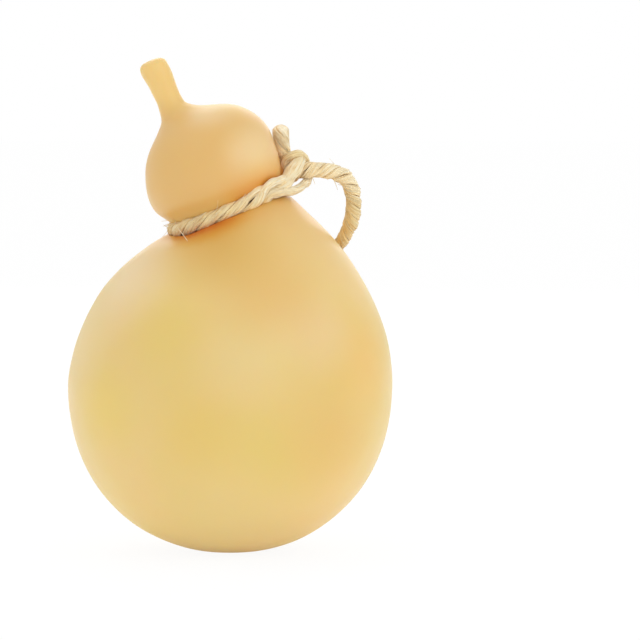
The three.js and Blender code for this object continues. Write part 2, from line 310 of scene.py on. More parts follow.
# Head: a little slimmer than the solid and shifted to the right, out towards the knot and in above it.
HEAD_SLIMMING = 0.2 * MM
HEAD_SHIFT = 0.4 * MM
HEAD_START = 138 * MM
HEAD_BLEND = 12 * MM
HEAD_END = 178 * MM
STALK_BLEND = 6 * MM
BULGE_START = 6 * MM
BULGE_BLEND = 12 * MM
BULGE_DEPTH = 14 * MM
KNOT_BULGES = ((1.3 * MM, 149.5 * MM, 4 * MM), (-0.9 * MM, 163 * MM, 6 * MM))

# Painted shade: the rind is painted deep orange by the rope, for the shade and warm glow in its crease.
# Pairs are the strength on the left and its change to the right.
CREASE_REACH = 5.2 * MM
CREASE_LEFT = -8 * MM
CREASE_RIGHT = 12 * MM
RIND_SHADE_TINT = np.array([0.18, 1.3, 3.7])
RIND_SHADE_STEPS = 9
RIND_SHADE_ABOVE = (0.03, 0.8)
RIND_SHADE_BELOW = (1.35, -1.15)
END_RIND_SHADE = 0.2
RIND_SHADE_START = -27 * MM
RIND_SHADE_BLEND = 13 * MM

# Rind colour: soft clouds, a tanned head and a pale stalk, by height.
CLOUD_SCALE = 20
RIND_CLOUDS = ((0.3, (227, 200, 120)), (0.5, (230, 201, 128)), (0.7, (233, 200, 132)))
HEAD_COLOUR = (226, 184, 112)
HEAD_TAN = (105 * MM, 150 * MM)
STALK_COLOUR = (236, 202, 126)
STALK_HEIGHTS = (172 * MM, 184 * MM)
WAX_SCALE = 60
WAX_ROUGHNESS = (0.4, 0.5)
SKIN_SCALE = 350
SKIN_DEPTH = 0.1 * MM
SKIN_STRENGTH = 0.15
RIND_FINISH = {
    "Subsurface Weight": 0.4,
    "Subsurface Radius": (1, 0.6, 0.25),
    "Subsurface Scale": 4 * MM,
    "IOR": 1.45,
    "Coat Weight": 0.2,
    "Coat Roughness": 0.3,
}

# Soft patches on the rind, partly its own mottled tone and partly painted highlights and painted shade:
# middle in mm, radius in mm, strength, and colour.
RIND_TONE_AND_LIGHT_PATCHES = (
    ((-24, -54, 94), 32, 0.8, (228, 201, 113)),
    ((-50, -42, 62), 28, 0.8, (233, 204, 114)),
    ((-10, -64, 54), 30, 0.8, (228, 197, 110)),
    ((18, -60, 47), 36, 0.9, (225, 199, 112)),
    ((42, -48, 52), 36, 0.9, (226, 189, 108)),
    ((54, -33, 80), 32, 0.9, (234, 194, 112)),
    ((34, -48, 93), 26, 0.8, (233, 202, 144)),
    ((6, -62, 83), 26, 0.8, (231, 206, 140)),
    ((-40, -26, 113), 34, 1, (238, 212, 162)),
    ((-58, -23, 84), 28, 0.8, (237, 209, 146)),
    ((0, -45, 14), 42, 0.8, (229, 204, 137)),
    ((16, -48, 109), 32, 0.9, (227, 187, 112)),
    ((-8, 60, 70), 60, 0.8, (228, 200, 114)),
    ((10, 40, 116), 46, 0.9, (224, 184, 108)),
)
# Painted light on the head: painted shade on the shoulder below the rope in front, and painted highlights
# on the head's right, top and upper left.
HEAD_SHADE_AND_HIGHLIGHTS = (
    ((-4, -38, 124), 30, 0.9, (217, 175, 86)),
    ((12, -20, 160), 20, 1, (236, 209, 156)),
    ((-8, -12, 177), 15, 0.9, (236, 205, 154)),
    ((-20, 16, 166), 26, 0.8, (238, 205, 146)),
)

# Studio: places in metres and powers in watts. Light from all round is stronger from behind.
WHITE = (1, 1, 1, 1)
FLOOR_HALF_WIDTH = 3
FLOOR_WHITENESS = 0.9
FLOOR_FINISH = {
    "Base Color": (0.9, 0.9, 0.9, 1),
    "Roughness": 0.9,
    "Emission Color": WHITE,
    "Emission Strength": 0.22,
}
FRONT_LIGHT = 0.78
BACK_LIGHT = 0.85
FRONT_SIDE = -0.4
BACK_SIDE = 0.6
BACKDROP_LIGHT = 1
SOFT_BOX_AIM = (0, 0, 0.1)
SOFT_BOXES = (
    ("top", (-0.35, -0.05, 1.1), 0.9, 1.2),
    ("back", (0.1, 1, 0.6), 0.9, 3),
    ("key", (0.7, -0.9, 0.7), 0.6, 2),
)
SPOT_PLACE = (0.5, -0.42, 0.42)
SPOT_AIM = (0.024, 0.008, 0.17)
SPOT_RADIUS = 0.1
SPOT_ANGLE = math.radians(3.2)
SPOT_POWER = 26


def srgb(red, green, blue):
    """A colour as seen on a screen, 0 to 255, as the linear values that shaders take."""
    parts = [channel / 255 for channel in (red, green, blue)]
    linear = [p / 12.92 if p < 0.04045 else ((p + 0.055) / 1.055) ** 2.4 for p in parts]
    return (*linear, 1)


def eased(amount):
    """Goes smoothly from 0 to 1."""
    amount = np.clip(amount, 0, 1)
    return amount * amount * (3 - 2 * amount)


def bell(distance, reach):
    """1 in the middle, and falling off smoothly beyond a reach."""
    return np.exp(-((distance / reach) ** 2))


def unit(vectors):
    return vectors / np.linalg.norm(vectors, axis=-1, keepdims=True)


def across(vectors, directions):
    """The unit parts of vectors that lie across directions."""
    return unit(vectors - directions * (vectors * directions).sum(-1, keepdims=True))


def tree_of(points):
    """Finds the nearest of some points."""
    tree = kdtree.KDTree(len(points))
    for number, point in enumerate(points):
        tree.insert(point, number)
    tree.balance()
    return tree


def add_object(name, data):
    added = bpy.data.objects.new(name, data)
    bpy.context.collection.objects.link(added)
    return added


def make_camera():
    centre = PHOTO_PIXELS / 2
    aim = Vector(((centre - FOOT_PIXEL[0]) * PIXEL_SIZE, 0, (FOOT_PIXEL[1] - centre) * PIXEL_SIZE))
    data = bpy.data.cameras.new("camera")
    data.sensor_width = SENSOR_WIDTH
    data.lens = SENSOR_WIDTH * CAMERA_DISTANCE / (PHOTO_PIXELS * PIXEL_SIZE)
    camera = add_object("camera", data)
    back = Vector((0, -math.cos(CAMERA_ELEVATION), math.sin(CAMERA_ELEVATION)))
    camera.location = aim + CAMERA_DISTANCE * back
    camera.rotation_euler = (math.pi / 2 - CAMERA_ELEVATION, 0, 0)
    bpy.context.scene.camera = camera


def smooth_line(points, step):
    """A centripetal Catmull-Rom line through the points, in even steps."""
    ends = 2 * points[0] - points[1], 2 * points[-1] - points[-2]
    knots = np.vstack([ends[0], points, ends[1]])
    dense = []
    for a, b, c, d in zip(knots, knots[1:], knots[2:], knots[3:]):
        gaps = [np.linalg.norm(q - p) ** 0.5 for p, q in ((a, b), (b, c), (c, d))]
        t0, t1, t2, t3 = 0, gaps[0], gaps[0] + gaps[1], sum(gaps)
        t = np.linspace(t1, t2, LINE_SAMPLES, endpoint=False)[:, None]
        a1 = ((t1 - t) * a + (t - t0) * b) / (t1 - t0)
        a2 = ((t2 - t) * b + (t - t1) * c) / (t2 - t1)
        a3 = ((t3 - t) * c + (t - t2) * d) / (t3 - t2)
        b1 = ((t2 - t) * a1 + (t - t0) * a2) / (t2 - t0)
        b2 = ((t3 - t) * a2 + (t - t1) * a3) / (t3 - t1)
        dense.append(((t2 - t) * b1 + (t - t1) * b2) / (t2 - t1))
    line = np.vstack([*dense, points[-1:]])
    reach = np.concatenate([[0], np.cumsum(np.linalg.norm(np.diff(line, axis=0), axis=1))])
    even = np.linspace(0, reach[-1], round(reach[-1] / step) + 1)
    return np.column_stack([np.interp(even, reach, line[:, k]) for k in range(3)])


def wander(along, wave, draw):
    """A smooth random swing between -1 and 1, in waves of about the given length."""
    swing = np.zeros_like(along)
    for stretch in WANDER_STRETCHES:
        swing += np.sin(2 * math.pi * along / (wave * stretch) + draw.uniform(0, 2 * math.pi))
    return swing / len(WANDER_STRETCHES)


def frames_along(line):
    """Tangents, and two directions across the line that turn as little as they can."""
    tangents = unit(np.gradient(line, axis=0))
    normals = np.empty_like(line)
    normal = np.cross(tangents[0], AWAY)
    for i, tangent in enumerate(tangents):
        normal = across(normal, tangent)
        normals[i] = normal
    return tangents, normals, np.cross(tangents, normals)


def rope_line():
    """The rope's middle line: the collar's ring, and then the loop's route as far as the tail's end."""
    turns = np.radians(np.linspace(*COLLAR_DEGREES, COLLAR_POINTS))
    ring = [NECK + COLLAR_RADIUS * (math.cos(turn) * ACROSS + math.sin(turn) * AWAY) for turn in turns]
    return smooth_line(np.vstack([ring, LOOP_ROUTE]), STRAND_STEP)


def lay_tightness(along):
    """0 where the rope is loosely laid round the neck, and 1 from the knot on."""
    return eased((along - COLLAR_LENGTH) / LAY_CHANGE + 1)


def thickness(along):
    """The rope's thickness along it, as a share of its usual thickness."""
    down = eased((along - COLLAR_LENGTH - THINNING_START) / THINNING_LENGTH)
    up = eased((along[-1] - TAIL_LENGTH - along) / FULL_AGAIN)
    return 1 + TURN_FULLNESS * bell(along - TURN_PLACE, TURN_REACH) - THINNING * down * up


def laid_strands(line, along, draw):
    """Each laid strand's middle line, its directions out of the rope, and the rope's own directions."""
    tangents, normals, binormals = frames_along(line)
    tightness = lay_tightness(along)
    turns = np.cumsum((1 - tightness) / COLLAR_LAY + tightness / LOOP_LAY) * STRAND_STEP
    seen = np.argmin(np.abs(along - FACING_REACH))
    facing = math.atan2(-binormals[seen] @ AWAY, -normals[seen] @ AWAY)
    strands = []
    for k in range(STRANDS):
        turn = facing + 2 * math.pi * (k / STRANDS + turns[seen] - turns)
        turn = turn + LAY_WANDER * wander(along, LAY_WANDER_WAVE, draw)
        loose = OPENING * (1 - eased(along / OPENING_REACH))
        offset = STRAND_OFFSET * (1 + loose + OFFSET_WANDER * wander(along, SWELL_WAVE, draw))[:, None]
        out = np.cos(turn)[:, None] * normals + np.sin(turn)[:, None] * binormals
        strands.append((line + thickness(along)[:, None] * offset * out, out, tangents))
    return strands


def opened(strand, along, route, start):
    """Carries a laid strand out of the lay along its route, where lengths along it go below its start."""
    middle, out, rope_direction = strand
    laid = along >= start
    stride = round(LEAD_STEP / STRAND_STEP)
    lead = middle[laid][: LEAD_POINTS * stride : stride]
    free = smooth_line(np.vstack([route[::-1], lead]), STRAND_STEP)
    joint = np.argmin(np.linalg.norm(free - lead[0], axis=1))
    line = np.vstack([free[:joint], middle[laid]])
    reach = np.concatenate([start - STRAND_STEP * np.arange(joint, 0, -1), along[laid]])
    tightness = eased((reach - start) / LOOSENING)[:, None]
    own = unit(np.gradient(line, axis=0))
    directions = own.copy()
    directions[joint:] = unit(own[joint:] + tightness[joint:] * (rope_direction[laid] - own[joint:]))
    outs = np.vstack([np.empty((joint, 3)), out[laid]])
    for i in range(joint - 1, -1, -1):
        outs[i] = across(outs[i + 1], own[i])
    return line, reach, across(outs, directions), directions, tightness


def laid_section(turn, flatness):
    """From a laid strand's middle to its skin: a round pressed by the other two strands."""
    wedge = math.pi / STRANDS
    skin = np.sqrt(ROPE_RADIUS ** 2 - (STRAND_OFFSET * np.sin(turn)) ** 2) - STRAND_OFFSET * np.cos(turn)
    total = skin ** -STRAND_EDGE
    wall = STRAND_OFFSET * math.sin(wedge) - STRAND_GAP
    for side in (-1, 1):
        towards = np.maximum(-np.sin(wedge + side * turn), LEAST_FACING)
        total = total + (wall / towards) ** -STRAND_EDGE
    return STRAND_RADIUS + flatness * (total ** (-1 / STRAND_EDGE) - STRAND_RADIUS)


def fibre_furrows(along, draw):
    """How deep the furrows between bundles of fibre are, 0 to 1, along and round a strand."""
    turn = np.linspace(0, 2 * math.pi, STRAND_SIDES, endpoint=False)[None, :]
    waves = np.zeros((len(along), STRAND_SIDES))
    for count in FURROW_COUNTS:
        drift = draw.uniform(-FURROW_DRIFT, FURROW_DRIFT) / MM * along[:, None]
        waves += draw.normal() * np.cos(count * turn + drift + draw.uniform(0, 2 * math.pi))
    return bell(waves, FURROW_WIDTH)


def strand_rings(strand, draw, leaf=False):
    """Rings of points round a strand. A leaf is spread out flat in the middle of its way out of the lay."""
    line, along, out, directions, tightness = strand
    side = np.cross(directions, out)
    turn = np.linspace(0, 2 * math.pi, STRAND_SIDES, endpoint=False)
    around = np.cos(turn)[None, :, None] * out[:, None] + np.sin(turn)[None, :, None] * side[:, None]
    flatness = COLLAR_FLATNESS + (LOOP_FLATNESS - COLLAR_FLATNESS) * lay_tightness(along)[:, None]
    radius = LOOSE_RADIUS + tightness * (laid_section(turn[None, :], flatness) - LOOSE_RADIUS)
    radius = radius * (1 + SWELL_DEPTH * wander(along, SWELL_WAVE, draw)[:, None])
    radius = radius * (1 - FURROW_DEPTH * fibre_furrows(along, draw))
    offsets = around * (radius * thickness(along)[:, None])[..., None]
    if leaf:
        wide = across(np.broadcast_to(RIGHT, directions.shape), directions)[:, None]
        spread = np.sin(math.pi * np.clip((LEAF_START - along) / LEAF_LENGTH, 0, 1))[:, None, None]
        widened = (LEAF_WIDTH - LEAF_THICKNESS) * (offsets * wide).sum(-1, keepdims=True) * wide
        offsets = offsets + spread * (offsets * (LEAF_THICKNESS - 1) + widened)
    return line[:, None] + offsets


def shade_at_height(height):
    """Painted shade on the rope at a height: most round the neck, least on top of the loop, more on the
    knot's top.
    """
    above = LEAST_HEIGHT_SHADE + KNOT_TOP_SHADE * eased((height - KNOT_TOP) / KNOT_BLEND)
    return np.maximum(eased((FULL_LIGHT_HEIGHT - height) / HEIGHT_SHADE_DEPTH), above)


def tube_faces(rings, along, start, number):
    """A closed tube's faces, numbered from start on, and their corners' UVs round and along it, in mm."""
    count, sides = rings.shape[:2]
    width = 2 * math.pi * LOOSE_RADIUS / MM
    seam = number * 2 * width
    faces = []
    layout = []
    for i in range(count - 1):
        near, far = along[i] / MM, along[i + 1] / MM
        low, high = start + i * sides, start + (i + 1) * sides
        for j in range(sides):
            k = (j + 1) % sides
            faces.append((low + j, low + k, high + k, high + j))
            left, right = seam + j * width / sides, seam + (j + 1) * width / sides
            layout += [(left, near), (right, near), (right, far), (left, far)]
    hub = start + count * sides
    for ring, middle, flip in ((0, hub, True), (count - 1, hub + 1, False)):
        for j in range(sides):
            a, b = start + ring * sides + j, start + ring * sides + (j + 1) % sides
            faces.append((b, a, middle) if flip else (a, b, middle))
            layout += [(seam + j * width / sides, along[ring] / MM)] * 3
    return faces, layout


def tubes_object(name, tubes, tans=None):
    """One mesh of closed tubes, each given as rings of points and lengths along.

    Each point gets painted shade by its height, and each tube is tanned by its own amount where amounts are
    given.
    """
    points = []
    faces = []
    layout = []
    tanned = []
    start = 0
    for number, (rings, along) in enumerate(tubes):
        tube = np.vstack([rings.reshape(-1, 3), rings[[0, -1]].mean(axis=1)])
        tan = shade_at_height(tube[:, 2])
        tanned.append(tan if tans is None else tan * tans[number])
        points.append(tube)
        tube_parts = tube_faces(rings, along, start, number)
        faces += tube_parts[0]
        layout += tube_parts[1]
        start += len(tube)
    mesh = bpy.data.meshes.new(name)
    mesh.from_pydata(np.vstack(points).tolist(), [], faces)
    uv = mesh.uv_layers.new(name="fibre")
    uv.data.foreach_set("uv", np.array(layout, dtype=np.float32).ravel())
    tan = mesh.attributes.new("tanned", "FLOAT", "POINT")
    tan.data.foreach_set("value", np.concatenate(tanned).astype(np.float32))
    mesh.shade_smooth()
    return add_object(name, mesh)


def thread(line, radius):
    """A thin fibre along a line, as rings that taper to its far end, with lengths along it."""
    _, normals, binormals = frames_along(line)
    along = np.linspace(0, np.linalg.norm(np.diff(line, axis=0), axis=1).sum(), len(line))
    taper = radius * np.linspace(1, THREAD_TIP, len(line))[:, None]
    corners = [2 * math.pi * k / THREAD_SIDES for k in range(THREAD_SIDES)]
    rings = [line + taper * (math.cos(c) * normals + math.sin(c) * binormals) for c in corners]
    return np.stack(rings, axis=1), along


def bent_line(root, direction, bend, length):
    """A line that starts at root and bends as it goes."""
    steps = np.linspace(0, 1, HAIR_STEPS)[:, None]
    return root + length * (direction * steps + bend * steps ** 2)


def stray_hairs(tubes, count, draw):
    """Fibres that have come loose all along some strands, where they are laid, and stand off them."""
    hairs = []
    for _ in range(count):
        rings, along = tubes[draw.integers(len(tubes))]
        i = draw.choice(np.flatnonzero(along > HAIR_START)[HAIR_MARGIN:-HAIR_MARGIN])
        middle = rings[i].mean(axis=0)
        root = rings[i, draw.integers(rings.shape[1])]
        out = unit(root - middle)
        forward = unit(rings[i + HAIR_AHEAD].mean(axis=0) - middle) * draw.choice((-1, 1))
        direction = unit(forward + out * draw.uniform(*HAIR_LIFTS) + draw.normal(0, HAIR_SCATTER, 3))
        length = (HAIR_LENGTH + min(draw.exponential(HAIR_EXTRA), HAIR_MOST_EXTRA)) * MM
        line = bent_line(root - out * HAIR_ROOT, direction, draw.normal(0, HAIR_BEND, 3), length)
        hairs.append(thread(line, draw.uniform(*HAIR_RADII) * MM))
    return hairs


def lying_fibres(tubes, count, draw):
    """Fibres that lie along some strands, a little off the skin in the middle."""
    fibres = []
    for _ in range(count):
        rings, _ = tubes[draw.integers(len(tubes))]
        size, sides = rings.shape[:2]
        steps = min(draw.integers(*FIBRE_STEPS), size)
        first = draw.integers(0, size - steps + 1)
        rows = np.arange(first, first + steps, FIBRE_STRIDE)
        gone = np.linspace(0, 1, len(rows))
        column = draw.uniform(0, sides) + draw.normal(0, FIBRE_DRIFT) * gone
        low = np.floor(column).astype(int)
        part = (column - low)[:, None]
        skin = rings[rows, low % sides] * (1 - part) + rings[rows, (low + 1) % sides] * part
        out = unit(skin - rings[rows].mean(axis=1))
        lift = draw.uniform(*FIBRE_LIFTS) * MM * np.sin(math.pi * gone)[:, None] - FIBRE_ROOT
        fibres.append(thread(skin + out * lift, draw.uniform(*FIBRE_RADII) * MM))
    return fibres


def brush_end(line, count, draw):
    """Fibres that run side by side along the end of a rope, spread out a little, and end in a dome."""
    _, normals, binormals = frames_along(line)
    left = STRAND_STEP * np.arange(len(line))[::-1]
    fibres = []
    for number in range(count):
        share = 1 if number % 2 == 0 else math.sqrt(draw.uniform(0, 1))
        rounding = math.sqrt(1 - BRUSH_ROUNDNESS * share ** 2)
        dome = BRUSH_DOME * (BRUSH_TOP - rounding) * draw.uniform(*BRUSH_TRIM)
        start = BRUSH_START * draw.uniform(*BRUSH_STARTS)
        rows = np.flatnonzero((left >= dome) & (left <= start))[::BRUSH_STRIDE]
        back = left[rows] / BRUSH_START
        spread = ROPE_RADIUS * share * (BRUSH_SPREAD - BRUSH_GATHER * eased(back))
        turn = draw.uniform(0, 2 * math.pi) + draw.normal(BRUSH_TWIST, BRUSH_SCATTER) * back
        out = np.cos(turn)[:, None] * normals[rows] + np.sin(turn)[:, None] * binormals[rows]
        fibres.append(thread(line[rows] + spread[:, None] * out, draw.uniform(*HAIR_RADII) * MM))
    return fibres


def nodes_of(name):
    material = bpy.data.materials.new(name)
    material.use_nodes = True
    nodes = material.node_tree.nodes
    return material, nodes, material.node_tree.links, nodes["Principled BSDF"]


def set_sockets(shader, values):
    for socket, value in values.items():
        shader.inputs[socket].default_value = value


def noise_texture(nodes, links, coordinates, scale, detail=3, roughness=0.5):
    texture = nodes.new("ShaderNodeTexNoise")
    set_sockets(texture, {"Scale": scale, "Detail": detail, "Roughness": roughness})
    links.new(coordinates, texture.inputs["Vector"])
    return texture.outputs["Fac"]


def colour_ramp(nodes, links, factor, stops):
    ramp = nodes.new("ShaderNodeValToRGB")
    elements = ramp.color_ramp.elements
    while len(elements) < len(stops):
        elements.new(0.5)
    for element, (position, colour) in zip(elements, stops):
        element.position = position
        element.color = colour
    links.new(factor, ramp.inputs["Fac"])
    return ramp.outputs["Color"]


def value_range(nodes, links, value, start, end, low, high):
    """Carries a value from start to end over to low to high, held beyond them."""
    spread = nodes.new("ShaderNodeMapRange")
    spread.interpolation_type = "SMOOTHSTEP"
    set_sockets(spread, {"From Min": start, "From Max": end, "To Min": low, "To Max": high})
    links.new(value, spread.inputs["Value"])
    return spread.outputs["Result"]


def mixed(nodes, links, factor, first, second, blend="MIX"):
    """Two colours mixed by a factor, or wholly where there is none."""
    mix = nodes.new("ShaderNodeMix")
    mix.data_type = "RGBA"
    mix.blend_type = blend
    if factor is None:
        mix.inputs["Factor"].default_value = 1
    else:
        links.new(factor, mix.inputs["Factor"])
    for socket, colour in ((mix.inputs[6], first), (mix.inputs[7], second)):
        if isinstance(colour, tuple):
            socket.default_value = colour
        else:
            links.new(colour, socket)
    return mix.outputs[2]


def bumped(nodes, links, shader, height, distance, strength):
    bump = nodes.new("ShaderNodeBump")
    set_sockets(bump, {"Strength": strength, "Distance": distance})
    links.new(height, bump.inputs["Height"])
    links.new(bump.outputs["Normal"], shader.inputs["Normal"])


def attribute(nodes, name):
    reader = nodes.new("ShaderNodeAttribute")
    reader.attribute_name = name
    return reader.outputs["Fac"]


def patch(nodes, links, place, centre, radius):
    """1 in the middle of a round patch, and 0 from its edge on."""
    mapping = nodes.new("ShaderNodeMapping")
    mapping.inputs["Location"].default_value = [-c / radius for c in centre]
    mapping.inputs["Scale"].default_value = [1 / (radius * MM)] * 3
    links.new(place, mapping.inputs["Vector"])
    gradient = nodes.new("ShaderNodeTexGradient")
    gradient.gradient_type = "SPHERICAL"
    links.new(mapping.outputs["Vector"], gradient.inputs["Vector"])
    return gradient.outputs["Fac"]


def patched(nodes, links, place, colour, patches):
    for centre, radius, amount, tint in patches:
        near = patch(nodes, links, place, centre, radius)
        colour = mixed(nodes, links, value_range(nodes, links, near, 0, 1, 0, amount), colour, srgb(*tint))
    return colour


def rind_material():
    """Smooth waxy rind: pale gold with soft clouds and patches, partly painted highlights and shade, tanned
    on the head, and painted deep orange shade by the rope.
    """
    material, nodes, links, shader = nodes_of("rind")
    place = nodes.new("ShaderNodeTexCoord").outputs["Object"]
    split = nodes.new("ShaderNodeSeparateXYZ")
    links.new(place, split.inputs["Vector"])
    height = split.outputs["Z"]
    clouds = noise_texture(nodes, links, place, CLOUD_SCALE, detail=2)
    colour = colour_ramp(nodes, links, clouds, [(stop, srgb(*tint)) for stop, tint in RIND_CLOUDS])
    # Patches of own tone, painted highlights and painted shade.
    colour = patched(nodes, links, place, colour, RIND_TONE_AND_LIGHT_PATCHES)
    tanned = value_range(nodes, links, height, *HEAD_TAN, 0, 1)
    colour = mixed(nodes, links, tanned, colour, srgb(*HEAD_COLOUR))
    # Painted shade and painted highlights on the head.
    colour = patched(nodes, links, place, colour, HEAD_SHADE_AND_HIGHLIGHTS)
    stalk = value_range(nodes, links, height, *STALK_HEIGHTS, 0, 1)
    colour = mixed(nodes, links, stalk, colour, srgb(*STALK_COLOUR))
    # Painted shade: the rind darkens to deep orange by the rope.
    rind_shade_stops = [(t, (*np.exp(-t * RIND_SHADE_TINT), 1)) for t in np.linspace(0, 1, RIND_SHADE_STEPS)]
    rind_shade = colour_ramp(nodes, links, attribute(nodes, "crease"), rind_shade_stops)
    colour = mixed(nodes, links, None, colour, rind_shade, "MULTIPLY")
    links.new(colour, shader.inputs["Base Color"])
    wax = noise_texture(nodes, links, place, WAX_SCALE)
    roughness = value_range(nodes, links, wax, *NOISE_SPREAD, *WAX_ROUGHNESS)
    links.new(roughness, shader.inputs["Roughness"])
    set_sockets(shader, RIND_FINISH)
    skin = noise_texture(nodes, links, place, SKIN_SCALE, detail=4, roughness=0.6)
    bumped(nodes, links, shader, skin, SKIN_DEPTH, SKIN_STRENGTH)
    return material


def fibre_noise(nodes, links, scale, detail, roughness):
    """Noise that is drawn out along the fibres."""
    mapping = nodes.new("ShaderNodeMapping")
    mapping.inputs["Scale"].default_value = scale
    links.new(nodes.new("ShaderNodeTexCoord").outputs["UV"], mapping.inputs["Vector"])
    return noise_texture(nodes, links, mapping.outputs["Vector"], 1, detail, roughness)


def sisal_material():
    """Dry plant fibre: pale straw streaks that run along each strand."""
    material, nodes, links, shader = nodes_of("sisal_rope")
    streaks = fibre_noise(nodes, links, STREAK_SCALE, detail=4, roughness=0.65)
    bundles = fibre_noise(nodes, links, BUNDLE_SCALE, detail=2, roughness=0.5)
    colour = colour_ramp(nodes, links, streaks, [(stop, srgb(*tint)) for stop, tint in SISAL_STREAKS])
    tan = value_range(nodes, links, bundles, *BUNDLE_SPREAD, 0, BUNDLE_STRENGTH)
    colour = mixed(nodes, links, tan, colour, srgb(*SISAL_BUNDLES))
    # Painted shade by height, with each fibre's own tan, and painted shade by the rind and in the creases.
    for name, tint in (("tanned", TAN_AND_SHADE_SISAL), ("shaded", SHADED_SISAL)):
        colour = mixed(nodes, links, attribute(nodes, name), colour, tint, "MULTIPLY")
    links.new(colour, shader.inputs["Base Color"])
    roughness = value_range(nodes, links, streaks, *NOISE_SPREAD, *SISAL_ROUGHNESS)
    links.new(roughness, shader.inputs["Roughness"])
    set_sockets(shader, SISAL_FINISH)
    bumped(nodes, links, shader, streaks, STREAK_DEPTH, STREAK_STRENGTH)
    return material


def rounded_solid(node):
    """A CAD node's mesh as quads, with its facets rounded off and its sharp lips kept."""
    solid = bmesh.new()
    solid.from_mesh(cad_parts[node].data)
    bmesh.ops.remove_doubles(solid, verts=solid.verts, dist=MERGE_DISTANCE)
    limits = {"angle_face_threshold": QUAD_ANGLE, "angle_shape_threshold": QUAD_ANGLE}
    bmesh.ops.join_triangles(solid, faces=solid.faces, **limits)
    sharpness = solid.edges.layers.float.new("crease_edge")
    for edge in solid.edges:
        if edge.calc_face_angle(0) > LIP_ANGLE:
            edge[sharpness] = LIP_CREASE
    mesh = bpy.data.meshes.new("rounding")
    solid.to_mesh(mesh)
    solid.free()
    rounded = add_object("rounding", mesh)
    subdivision = rounded.modifiers.new("rounding", "SUBSURF")
    subdivision.levels = RIND_LEVELS
    depsgraph = bpy.context.evaluated_depsgraph_get()
    smooth = bpy.data.meshes.new_from_object(rounded.evaluated_get(depsgraph))
    bpy.data.objects.remove(rounded)
    return smooth


def rind_shade_by_rope(place, gap):
    """How deep the painted orange shade on the rind is by the rope: most below it in front on the left, and
    above it on the right.
    """
    right = eased((place.x - CREASE_LEFT) / (CREASE_RIGHT - CREASE_LEFT))
    inward = END_RIND_SHADE + (1 - END_RIND_SHADE) * eased((place.x - RIND_SHADE_START) / RIND_SHADE_BLEND)
    if (np.array(place) - NECK) @ ALONG > 0:
        strength = RIND_SHADE_ABOVE[0] + RIND_SHADE_ABOVE[1] * right
    else:
        strength = (RIND_SHADE_BELOW[0] + RIND_SHADE_BELOW[1] * right) * inward
    return strength * math.exp(-gap / CREASE_REACH)


def lip_drop(place, gap):
    """How far the lip below the rope is pressed down on the left, where the rope turns to the back."""
    left = eased((LIP_LEFT - place.x) / LIP_BLEND)
    below = eased(-((np.array(place) - NECK) @ ALONG) / ROPE_RADIUS)
    return LIP_DROP * left * below * bell(gap, LIP_DROP_REACH)


def knot_bulge(place):
    """How far the head leans out towards the knot: out just above the rope, and in above that."""
    beside = eased((place.x - BULGE_START) / BULGE_BLEND) * bell(place.y, BULGE_DEPTH)
    return beside * sum(depth * bell(place.z - height, reach) for depth, height, reach in KNOT_BULGES)


def settled(place, middle, depth):
    """Where a place on the rind by the rope goes when the rind closes on the rope's middle line."""
    offset = np.array(place) - NECK
    radius = math.hypot(offset @ ACROSS, offset @ AWAY)
    lip = eased((radius - COLLAR_RADIUS) / LIP_REACH)
    free = max(eased((depth - SETTLE_START) / (SETTLE_END - SETTLE_START)), lip)
    closed = CONTACT_RADIUS + (depth - CONTACT_RADIUS) * free
    return middle + (place - middle) * min(closed / depth, 1)


def make_cheese():
    """The cheese with the low swells of a hand-stretched curd, bulging against the rope that ties it."""
    smooth = rounded_solid("cheese")
    smooth.name = "cheese_rind"
    rope = tree_of(rope_line()[: round(COLLAR_LENGTH / STRAND_STEP)])
    crease = smooth.attributes.new("crease", "FLOAT", "POINT")
    normals = [vertex.normal.copy() for vertex in smooth.vertices]
    for vertex, normal in zip(smooth.vertices, normals):
        middle, _, depth = rope.find(vertex.co)
        gap = max(depth - ROPE_RADIUS, 0)
        # Painted orange shade by the rope, kept as the rind's crease value.
        crease.data[vertex.index].value = rind_shade_by_rope(vertex.co, gap)
        if depth < SETTLE_END:
            vertex.co = settled(vertex.co, middle, depth)
        swell = noise.noise(vertex.co / RIND_WAVE) * RIND_WAVE_DEPTH
        dimple = noise.noise(vertex.co / RIND_DIMPLE) * RIND_DIMPLE_DEPTH
        clear = min(gap / SWELL_FADE, max(vertex.co.z, 0) / SWELL_FADE, 1)
        head = eased((vertex.co.z - HEAD_START) / HEAD_BLEND)
        shift = HEAD_SHIFT * head * (1 - eased((vertex.co.z - HEAD_END) / STALK_BLEND))
        vertex.co += normal * (swell + dimple + ROUNDING_LOSS - HEAD_SLIMMING * head) * clear
        vertex.co.x += shift + knot_bulge(vertex.co)
        vertex.co -= Vector(ALONG) * lip_drop(vertex.co, gap)
    smooth.shade_smooth()
    return add_object("cheese_rind", smooth)


def shade_rope(piece, rind, line, contact_reach):
    """Marks the rope where it lies by the rind, and in its creases, within half its radius, from 0 to 1."""
    touched = tree_of([vertex.co for vertex in rind.data.vertices])
    middle = tree_of(line)
    shaded = piece.data.attributes.new("shaded", "FLOAT", "POINT")
    for vertex in piece.data.vertices:
        contact = math.exp(-touched.find(vertex.co)[2] / contact_reach)
        crease = 1 - eased(middle.find(vertex.co)[2] / ROPE_RADIUS * 2 - 1)
        shaded.data[vertex.index].value = max(contact, CREASE_SHADE * crease)


def finish_piece(piece, material, nodes=()):
    piece.data.materials.clear()
    piece.data.materials.append(material)
    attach(piece, BODY)
    if nodes:
        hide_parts(*nodes)


